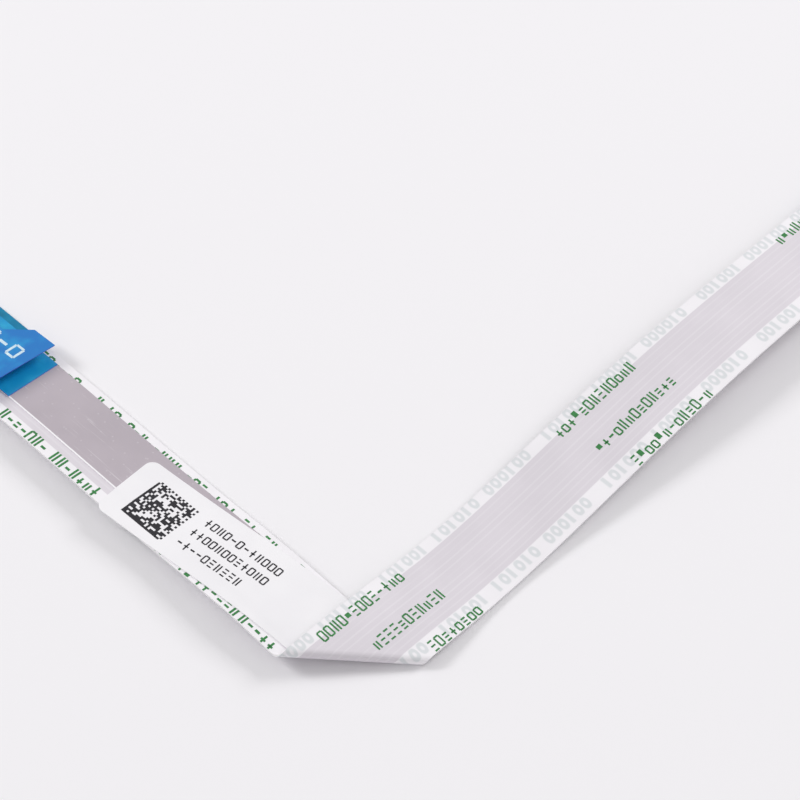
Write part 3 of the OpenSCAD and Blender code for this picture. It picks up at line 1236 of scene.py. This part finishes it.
def trimmed(marks: list[Mark], edge: float, side: Face, sizes: CableSizes) -> list[Mark]:
    """Cut the marks off at the cable's edges and, on the front face, where the foil hides them.

    Args:
        marks: Flat x, y, length, width and turn of every bar.
        edge: How far from the centre line a mark may reach.
        side: The face they are printed on.
        sizes: The cable's sizes.

    Returns:
        The bars that are left.
    """
    kept = []
    for x, y, length, width, turn in marks:
        bottom, top = max(y - width / 2, -edge), min(y + width / 2, edge)
        if side is Face.FRONT and bottom < -sizes.foil_low < top:
            top = -sizes.foil_low
        if side is Face.FRONT and bottom < sizes.foil_high < top:
            bottom = sizes.foil_high
        hidden = side is Face.FRONT and bottom >= -sizes.foil_low and top <= sizes.foil_high
        if top - bottom > THINNEST and not hidden:
            kept.append((x, (bottom + top) / 2, length, top - bottom, turn))
    return kept


@dataclass
class EdgePrint:
    """The rows of green marks on both faces of the cable."""

    sheet: FoldedSheet
    repeat: float = 25.4
    back_size: tuple[float, float, float] = (0.66, 0.86, 0.14)
    front_size: tuple[float, float, float] = (0.74, 1.02, 0.18)
    back_low: float = 0.55          # share of low shapes on each face
    front_low: float = 0.35
    back_count: int = 13            # shapes in each word of the back face
    back_words: Table = ((-0.6, -2.73), (0.5, 0.37), (1.5, 3.2))
    front_rows: tuple[float, float] = (-3.3, 2.8)
    front_words: tuple[tuple[tuple[float, int], ...], ...] = (
        ((-34.4, 7), (-28.7, 7), (-22.6, 9), (-15.4, 3), (-12.8, 6), (-8.2, 6), (-3.2, 5),
         (1.0, 11), (9.2, 8)),
        ((-37.0, 6), (-32.2, 3), (-29.5, 11), (-21.5, 7), (-16.2, 10), (-8.9, 5), (-4.8, 9),
         (2.0, 7), (8.0, 8)))
    end_gap: float = 1.5            # clear of the bare contacts
    rim: float = 0.03               # clear of the cable's edges
    fold_gap: float = 0.5           # clear of the fold

    def rows(self, side: Face) -> list[Mark]:
        """List the marks of one face.

        Args:
            side: The face.

        Returns:
            Flat x, y, length, width and turn of every bar.
        """
        chance = np.random.default_rng(3 if side is Face.BACK else 4)
        sizes = self.sheet.sizes
        first = sizes.contact_len + self.end_gap - sizes.label_arm
        last = sizes.plain_arm - sizes.contact_len - self.end_gap
        if side is Face.BACK:
            words = [(x, y, self.back_count, self.repeat) for x, y in self.back_words]
            (pitch, height, stroke), short, foot = self.back_size, self.back_low, 1
        else:
            words = [(x, y, count, 2 * self.repeat)
                     for y, row in zip(self.front_rows, self.front_words) for x, count in row]
            (pitch, height, stroke), short, foot = self.front_size, self.front_low, -1
        marks = []
        for x0, y, count, repeat in words:
            x = x0 - math.ceil((x0 - first) / repeat) * repeat
            while x < last:
                word = mark_row((x, y), 0.0, count, pitch, height, stroke, chance, short, foot)
                marks += [mark for mark in word
                          if first < mark[0] < last and self._clear(mark[0], mark[1])]
                x += repeat
        return trimmed(marks, sizes.half_w - self.rim, side, sizes)

    def _clear(self, x: float, y: float) -> bool:
        """Tell whether a flat place is clear of the fold."""
        slant = math.tan(math.radians(self.sheet.pose.fold_skew))
        return abs(x - y * slant) > self.sheet.fold_half + self.fold_gap


@dataclass
class TabPrint:
    """Pale shapes on the free flaps of the pull tabs, laid out from the loop inward."""

    sheet: FoldedSheet
    loop_x: float = 1.6
    loop_r: float = 0.3
    tape_t: float = 0.08
    lift: float = 3.0
    ink_t: float = 0.01
    rows: Table = ((0.2, 0.85), (0.4, -1.9))
    row_count: int = 4
    row_pitch: float = 1.35
    row_height: float = 1.15
    row_stroke: float = 0.22

    def _local(self, u: float, z: float) -> tuple[float, float]:
        """Return distance from the tip and height for a place on the flap's face."""
        c, s = math.cos(math.radians(self.lift)), math.sin(math.radians(self.lift))
        sizes = self.sheet.sizes
        base = sizes.front_top + sizes.stiffener_t + self.tape_t + self.loop_r
        w = self.loop_r + self.tape_t + z
        return self.loop_x + u * c - w * s, base + u * s + w * c

    def on_a(self, u: float, v: float, z: float) -> np.ndarray:
        """Return a place on the labelled tip's flap."""
        x, w = self._local(u, z)
        return self.sheet.place(x - self.sheet.sizes.label_arm, v, w)

    def on_b(self, u: float, v: float, z: float) -> np.ndarray:
        """Return a place on the plain tip's flap."""
        x, w = self._local(u, z)
        return self.sheet.place(self.sheet.sizes.plain_arm - x, -v, w)

    def marks(self) -> list[Mark]:
        """List the flap's bars: two short rows along the cable."""
        chance = np.random.default_rng(21)
        marks = []
        for start in self.rows:
            marks += mark_row(start, 0.0, self.row_count, self.row_pitch, self.row_height,
                              self.row_stroke, chance)
        return marks


@dataclass
class TipPieces:
    """Finishes for the pieces that keep their solid shapes."""

    finishes: Finishes
    nodes: dict[str, tuple[str, str]] = field(default_factory=lambda: {
        "pull_tab_a": ("tape", "tab"), "pull_tab_b": ("tape", "tab"),
        "stiffener_a": ("stiffener", "stiffener"), "stiffener_b": ("stiffener", "stiffener"),
        "adhesive": ("adhesive", "adhesive")})

    def dress(self, count: int) -> None:
        """Give each piece its material.

        Args:
            count: How many conductors there are.
        """
        names = dict(self.nodes)
        for i in range(1, count + 1):
            names[f"conductor_{i:02d}"] = ("copper", "conductor")
        for node, (finish, slot) in names.items():
            piece = bpy.data.objects[node]
            piece.data.materials.clear()
            piece.data.materials.append(getattr(self.finishes, finish))


@dataclass(frozen=True)
class Lamp:
    """A square soft light that faces the cable: place and side in metres, power in watts."""

    name: str
    place: tuple[float, float, float]
    side: float
    power: float


@dataclass(frozen=True)
class Studio:
    """Floor, soft light and camera, with the camera's distances in millimetres."""

    floor: Colour = srgb(246, 244, 247)
    floor_rough: float = 0.8
    floor_half: float = 2.0         # metres
    fill: float = 0.49
    lamps: tuple[Lamp, ...] = (
        Lamp("right soft light", (0.636, -0.178, 0.44), 0.3, 2.5),
        Lamp("left soft light", (-0.316, 0.58, 0.47), 0.24, 2.5),
        Lamp("front soft light", (-0.28, -0.4, 0.84), 1.0, 0.7))
    lens: float = 163.99
    elevation: float = 53.79
    heading: float = -44.65
    offset: tuple[float, float, float] = (3.5304, 19.0445, 262.27)      # right, up and back
    fold: tuple[float, float, float] = (-29.4986, -20.1295, 0.5988)     # what the offset is from

    def build(self) -> None:
        """Add everything around the cable."""
        self._floor()
        for lamp in self.lamps:
            self._lamp(lamp)
        world = bpy.data.worlds.new("studio")
        world.use_nodes = True
        background = world.node_tree.nodes["Background"]
        background.inputs["Color"].default_value = (1.0, 1.0, 1.0, 1.0)
        background.inputs["Strength"].default_value = self.fill
        scene = bpy.context.scene
        scene.world = world
        scene.view_settings.view_transform = "Standard"
        self._camera(scene)

    def _floor(self) -> None:
        """Add the pale floor."""
        mesh = bpy.data.meshes.new("floor")
        r = self.floor_half
        mesh.from_pydata([(-r, -r, 0), (r, -r, 0), (r, r, 0), (-r, r, 0)], [], [(0, 1, 2, 3)])
        floor = bpy.data.objects.new("floor", mesh)
        bpy.context.scene.collection.objects.link(floor)
        material, make, shader = principled("floor")
        make.feed(shader, {"Base Color": self.floor, "Roughness": self.floor_rough})
        mesh.materials.append(material)
        floor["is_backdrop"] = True

    def _lamp(self, lamp: Lamp) -> None:
        """Add one soft light."""
        light = bpy.data.lights.new(lamp.name, "AREA")
        light.shape = "SQUARE"
        light.size = lamp.side
        light.energy = lamp.power
        holder = bpy.data.objects.new(lamp.name, light)
        holder.location = lamp.place
        holder.rotation_euler = (-Vector(lamp.place)).to_track_quat("-Z", "Y").to_euler()
        bpy.context.scene.collection.objects.link(holder)

    def _camera(self, scene: bpy.types.Scene) -> None:
        """Add the camera that looks down on the fold."""
        elevation = math.radians(self.elevation)
        spin = Matrix.Rotation(math.radians(self.heading), 3, "Z")
        right = spin @ Vector((1, 0, 0))
        up = spin @ Vector((0, math.sin(elevation), math.cos(elevation)))
        back = spin @ Vector((0, -math.cos(elevation), math.sin(elevation)))
        axes = Matrix((right, up, back)).transposed()
        place = axes @ Vector(self.offset) + Vector(self.fold)
        lens = bpy.data.cameras.new("camera")
        lens.lens = self.lens
        lens.sensor_width = 36.0
        lens.clip_start = 0.01
        camera = bpy.data.objects.new("camera", lens)
        camera.matrix_world = Matrix.Translation(place * MM) @ axes.to_4x4()
        scene.collection.objects.link(camera)
        scene.camera = camera


# --- Scene ----------------------------------------------------------------------------------

def fit_to_solids(sheet: FoldedSheet) -> None:
    """Set the sheet's shift so that its front film lies where the solid one does."""
    sizes = sheet.sizes
    rings = sheet.rings(band(-sizes.half_w, sizes.half_w, sizes.front_base, sizes.front_top),
                        -sizes.label_arm, sizes.plain_arm)
    points = np.array([p for ring in rings for p, _, _ in ring])
    low, high = (np.array(corner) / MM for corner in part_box("front_film"))
    sheet.shift = (low + high - points.min(axis=0) - points.max(axis=0)) / 2
    LOG.info("film off by %s", (high - low) - (points.max(axis=0) - points.min(axis=0)))


def main() -> None:
    """Build the cable's looks and the studio around it."""
    logging.basicConfig(level=logging.INFO, format="%(name)s: %(message)s")
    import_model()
    low, high = (np.array(corner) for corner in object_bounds())
    sizes = CableSizes()
    sheet = FoldedSheet(sizes, Pose())
    finishes = Finishes(sizes)
    fit_to_solids(sheet)

    label = PaperLabel(sheet, finishes)
    pieces = Laminate(sheet, finishes).build()
    pieces += [ShieldFoil(sheet, finishes).build(), label.build()]
    TipPieces(finishes).dress(sizes.conductor_count)

    printer = PrintedMarks(low, high)
    green = MarkTree("green bars", finishes.green)
    black = MarkTree("black bars", finishes.black)
    white = MarkTree("white bars", finishes.white)
    rows = EdgePrint(sheet)
    tab = TabPrint(sheet)
    pieces += [
        printer.lay("front_marks", green, rows.rows(Face.FRONT),
                    lambda x, y, z: sheet.place(x, y, sizes.front_top + z), FILM_INK),
        printer.lay("back_marks", green, rows.rows(Face.BACK),
                    lambda x, y, z: sheet.place(x, y, -z), FILM_INK, inverted=True),
        printer.lay("label_pattern", black, label.code_marks(), label.on_top, label.ink_t, 4),
        printer.lay("label_rows", black, label.row_marks(), label.on_top, label.ink_t, 6),
        printer.lay("tab_a_marks", white, tab.marks(), tab.on_a, tab.ink_t),
        printer.lay("tab_b_marks", white, tab.marks(), tab.on_b, tab.ink_t)]
    for piece in pieces:
        LOG.info("%s has %d faces", piece.name, len(piece.data.polygons))

    Studio().build()


if __name__ == "__main__":
    main()
